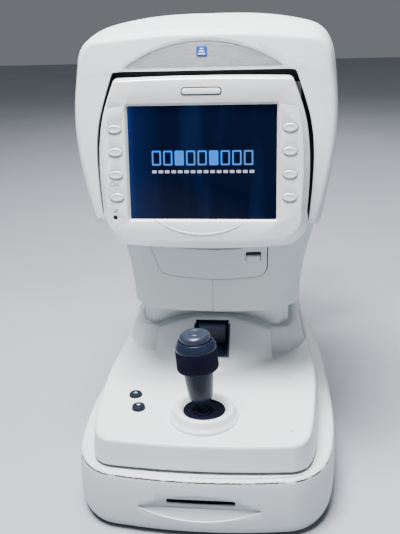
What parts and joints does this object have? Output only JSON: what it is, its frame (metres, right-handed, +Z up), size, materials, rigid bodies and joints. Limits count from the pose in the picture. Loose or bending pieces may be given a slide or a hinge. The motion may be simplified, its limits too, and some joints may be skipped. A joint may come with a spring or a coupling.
{
  "type": "auto refractor keratometer",
  "caption": "Table-top automatic refractor and keratometer with sliding stage, joystick, lifting head, tilting display, printer door and chin rest.",
  "frame": {"origin": "on the table, under the middle of the instrument's bounding box", "axes": "+Z up; +Y from the operator to the patient, the longest extent; +X to the operator's right, the shortest extent"},
  "size_m": [0.2602, 0.4939, 0.4582],
  "materials": {
    "housing": "moulded ABS, light satin",
    "head_cover": "moulded ABS, light satin",
    "bezel_silver": "metallic silver paint, satin",
    "key_silver": "silver painted, satin",
    "badge": "brushed",
    "screen": "glossy, lit navy picture",
    "stick_grey": "fine moulded, satin",
    "stick_dark": "knurled, dull",
    "dark_trim": "satin",
    "rubber_key": "satin",
    "steel": "ground",
    "bronze": "sintered",
    "casting": "machined",
    "base_plate": "powder coat",
    "electrics": "satin black",
    "black_plastic": "satin",
    "window_black": "satin",
    "mire": "opal",
    "lens": "coated",
    "paper": "thermal paper",
    "roller": "dull",
    "pad": "soft silicone",
    "cup": "moulded white"
  },
  "bodies": {
    "base": {"base_housing": "housing", "bottom_plate": "base_plate", "rubber_feet": "roller", "cover_screws": "steel", "x_rails": "steel", "power_supply": "electrics", "power_inlet": "black_plastic", "card_reader": "black_plastic", "face_frame": "head_cover", "forehead_pad": "pad", "chin_rest_housing": "head_cover"},
    "power_switch": {"power_switch": "black_plastic"},
    "chin_rest": {"chin_rest": "cup"},
    "chin_screw": {"chin_screw": "steel"},
    "x_carriage": {"x_carriage": "casting", "x_bushes": "bronze", "y_rails": "steel"},
    "stage": {"saddle": "casting", "y_bushes": "bronze", "stage_chassis": "casting", "stage_cover": "housing", "lift_columns": "steel", "lift_motor": "electrics"},
    "lock_lever": {"lock_lever": "dark_trim"},
    "chin_up_key": {"chin_up_key": "rubber_key"},
    "chin_down_key": {"chin_down_key": "rubber_key"},
    "lift_screw": {"lift_screw": "steel"},
    "gimbal_ring": {"gimbal_ring": "casting"},
    "joystick": {"stick_rod": "steel", "stick_grip": "stick_grey"},
    "height_ring": {"height_ring": "stick_dark"},
    "start_button": {"start_button": "stick_grey"},
    "dust_grommet": {"dust_grommet": "dark_trim"},
    "dust_disc": {"dust_disc": "dark_trim"},
    "head": {"head_frame": "casting", "casing_left": "head_cover", "casing_right": "head_cover", "hood": "head_cover", "rear_cover": "head_cover", "badge_plate": "badge", "window_bezel": "window_black", "objective_lens": "lens", "mire_ring": "mire", "optical_barrel": "electrics", "printer_frame": "casting"},
    "paper_roll": {"paper_roll": "paper"},
    "platen_roller": {"platen_roller": "roller"},
    "printer_door": {"printer_door": "head_cover"},
    "door_latch": {"door_latch": "head_cover"},
    "display": {"display_bezel": "bezel_silver", "display_back": "dark_trim", "lcd_module": "screen"},
    "left_key_1": {"left_key_1": "key_silver"},
    "left_key_2": {"left_key_2": "key_silver"},
    "left_key_3": {"left_key_3": "key_silver"},
    "left_key_4": {"left_key_4": "key_silver"},
    "right_key_1": {"right_key_1": "key_silver"},
    "right_key_2": {"right_key_2": "key_silver"},
    "right_key_3": {"right_key_3": "key_silver"},
    "right_key_4": {"right_key_4": "key_silver"}
  },
  "joints": [
    {"name": "stage_x", "type": "slide", "parent": "base", "child": "x_carriage", "axis": [1, 0, 0], "range_m": [-0.043, 0.043]},
    {"name": "stage_y", "type": "slide", "parent": "x_carriage", "child": "stage", "axis": [0, 1, 0], "range_m": [-0.02, 0.02]},
    {"name": "head_lift", "type": "slide", "parent": "stage", "child": "head", "axis": [0, 0, 1], "range_m": [-0.006, 0.024]},
    {"name": "lift_screw_turn", "type": "hinge", "parent": "stage", "child": "lift_screw", "pos_m": [0, 0.018, 0.12], "axis": [0, 0, 1], "range_deg": [-545, 2165]},
    {"name": "stick_fore_aft", "type": "hinge", "parent": "stage", "child": "gimbal_ring", "pos_m": [0.001, -0.186, 0.074], "axis": [1, 0, 0], "range_deg": [-6, 6]},
    {"name": "stick_side", "type": "hinge", "parent": "gimbal_ring", "child": "joystick", "pos_m": [0.001, -0.186, 0.074], "axis": [0, 1, 0], "range_deg": [-2.2, 9.8]},
    {"name": "height_ring_turn", "type": "hinge", "parent": "joystick", "child": "height_ring", "pos_m": [0.001, -0.186, 0.074], "axis": [-0.0663, 0, 0.9978], "range_deg": [-140, 545]},
    {"name": "start_press", "type": "slide", "parent": "joystick", "child": "start_button", "axis": [0.0663, 0, -0.9978], "range_m": [0, 0.0015], "stiffness_N_per_m": 600, "springref_m": -0.001},
    {"name": "grommet_level", "type": "hinge", "parent": "joystick", "child": "dust_grommet", "pos_m": [-0.00063, -0.186, 0.0986], "axis": [0, 1, 0], "range_deg": [-10.3, 2.7]},
    {"name": "disc_level", "type": "hinge", "parent": "dust_grommet", "child": "dust_disc", "pos_m": [-0.00063, -0.186, 0.0986], "axis": [1, 0, 0], "range_deg": [-6.5, 6.5]},
    {"name": "lock_lever_swing", "type": "hinge", "parent": "stage", "child": "lock_lever", "pos_m": [-0.0017, -0.06, 0.134], "axis": [-1, 0, 0], "range_deg": [0, 35]},
    {"name": "chin_up_press", "type": "slide", "parent": "stage", "child": "chin_up_key", "axis": [0, 0, -1], "range_m": [0, 0.0015], "stiffness_N_per_m": 500, "springref_m": -0.001},
    {"name": "chin_down_press", "type": "slide", "parent": "stage", "child": "chin_down_key", "axis": [0, 0, -1], "range_m": [0, 0.0015], "stiffness_N_per_m": 500, "springref_m": -0.001},
    {"name": "chin_height", "type": "slide", "parent": "base", "child": "chin_rest", "axis": [0, 0, 1], "range_m": [-0.03, 0.03]},
    {"name": "chin_screw_turn", "type": "hinge", "parent": "base", "child": "chin_screw", "pos_m": [0, 0.206, 0.11], "axis": [0, 0, 1], "range_deg": [-2705, 2705]},
    {"name": "power_rocker", "type": "hinge", "parent": "base", "child": "power_switch", "pos_m": [-0.028, 0.2165, 0.03], "axis": [1, 0, 0], "range_deg": [0, 12]},
    {"name": "display_tilt", "type": "hinge", "parent": "head", "child": "display", "pos_m": [0, -0.10641, 0.39598], "axis": [-1, 0, 0], "range_deg": [0, 12]},
    {"name": "door_swing", "type": "hinge", "parent": "head", "child": "printer_door", "pos_m": [0, -0.0682, 0.1898], "axis": [1, 0, 0], "range_deg": [0, 70]},
    {"name": "latch_slide", "type": "slide", "parent": "printer_door", "child": "door_latch", "axis": [0, 0, 1], "range_m": [0, 0.003], "stiffness_N_per_m": 300, "springref_m": -0.001},
    {"name": "paper_turn", "type": "hinge", "parent": "head", "child": "paper_roll", "pos_m": [0, -0.025, 0.221], "axis": [1, 0, 0], "continuous": true},
    {"name": "platen_turn", "type": "hinge", "parent": "head", "child": "platen_roller", "pos_m": [0, -0.038, 0.236], "axis": [1, 0, 0], "continuous": true},
    {"name": "left_key_1_press", "type": "slide", "parent": "display", "child": "left_key_1", "axis": [0, 0.9937, -0.1118], "range_m": [0, 0.0008], "stiffness_N_per_m": 500, "springref_m": -0.0006},
    {"name": "left_key_2_press", "type": "slide", "parent": "display", "child": "left_key_2", "axis": [0, 0.9937, -0.1118], "range_m": [0, 0.0008], "stiffness_N_per_m": 500, "springref_m": -0.0006},
    {"name": "left_key_3_press", "type": "slide", "parent": "display", "child": "left_key_3", "axis": [0, 0.9937, -0.1118], "range_m": [0, 0.0008], "stiffness_N_per_m": 500, "springref_m": -0.0006},
    {"name": "left_key_4_press", "type": "slide", "parent": "display", "child": "left_key_4", "axis": [0, 0.9937, -0.1118], "range_m": [0, 0.0008], "stiffness_N_per_m": 500, "springref_m": -0.0006},
    {"name": "right_key_1_press", "type": "slide", "parent": "display", "child": "right_key_1", "axis": [0, 0.9937, -0.1118], "range_m": [0, 0.0008], "stiffness_N_per_m": 500, "springref_m": -0.0006},
    {"name": "right_key_2_press", "type": "slide", "parent": "display", "child": "right_key_2", "axis": [0, 0.9937, -0.1118], "range_m": [0, 0.0008], "stiffness_N_per_m": 500, "springref_m": -0.0006},
    {"name": "right_key_3_press", "type": "slide", "parent": "display", "child": "right_key_3", "axis": [0, 0.9937, -0.1118], "range_m": [0, 0.0008], "stiffness_N_per_m": 500, "springref_m": -0.0006},
    {"name": "right_key_4_press", "type": "slide", "parent": "display", "child": "right_key_4", "axis": [0, 0.9937, -0.1118], "range_m": [0, 0.0008], "stiffness_N_per_m": 500, "springref_m": -0.0006}
  ],
  "couplings": [
    {"joint": "lift_screw_turn", "follows": "head_lift", "rad_per_m": 1570.8},
    {"joint": "height_ring_turn", "follows": "head_lift", "rad_per_m": 392.7},
    {"joint": "grommet_level", "follows": "stick_side", "ratio": -1},
    {"joint": "disc_level", "follows": "stick_fore_aft", "ratio": -1},
    {"joint": "chin_screw_turn", "follows": "chin_height", "rad_per_m": 1570.8},
    {"joint": "platen_turn", "follows": "paper_turn", "ratio": -2.88}
  ]
}
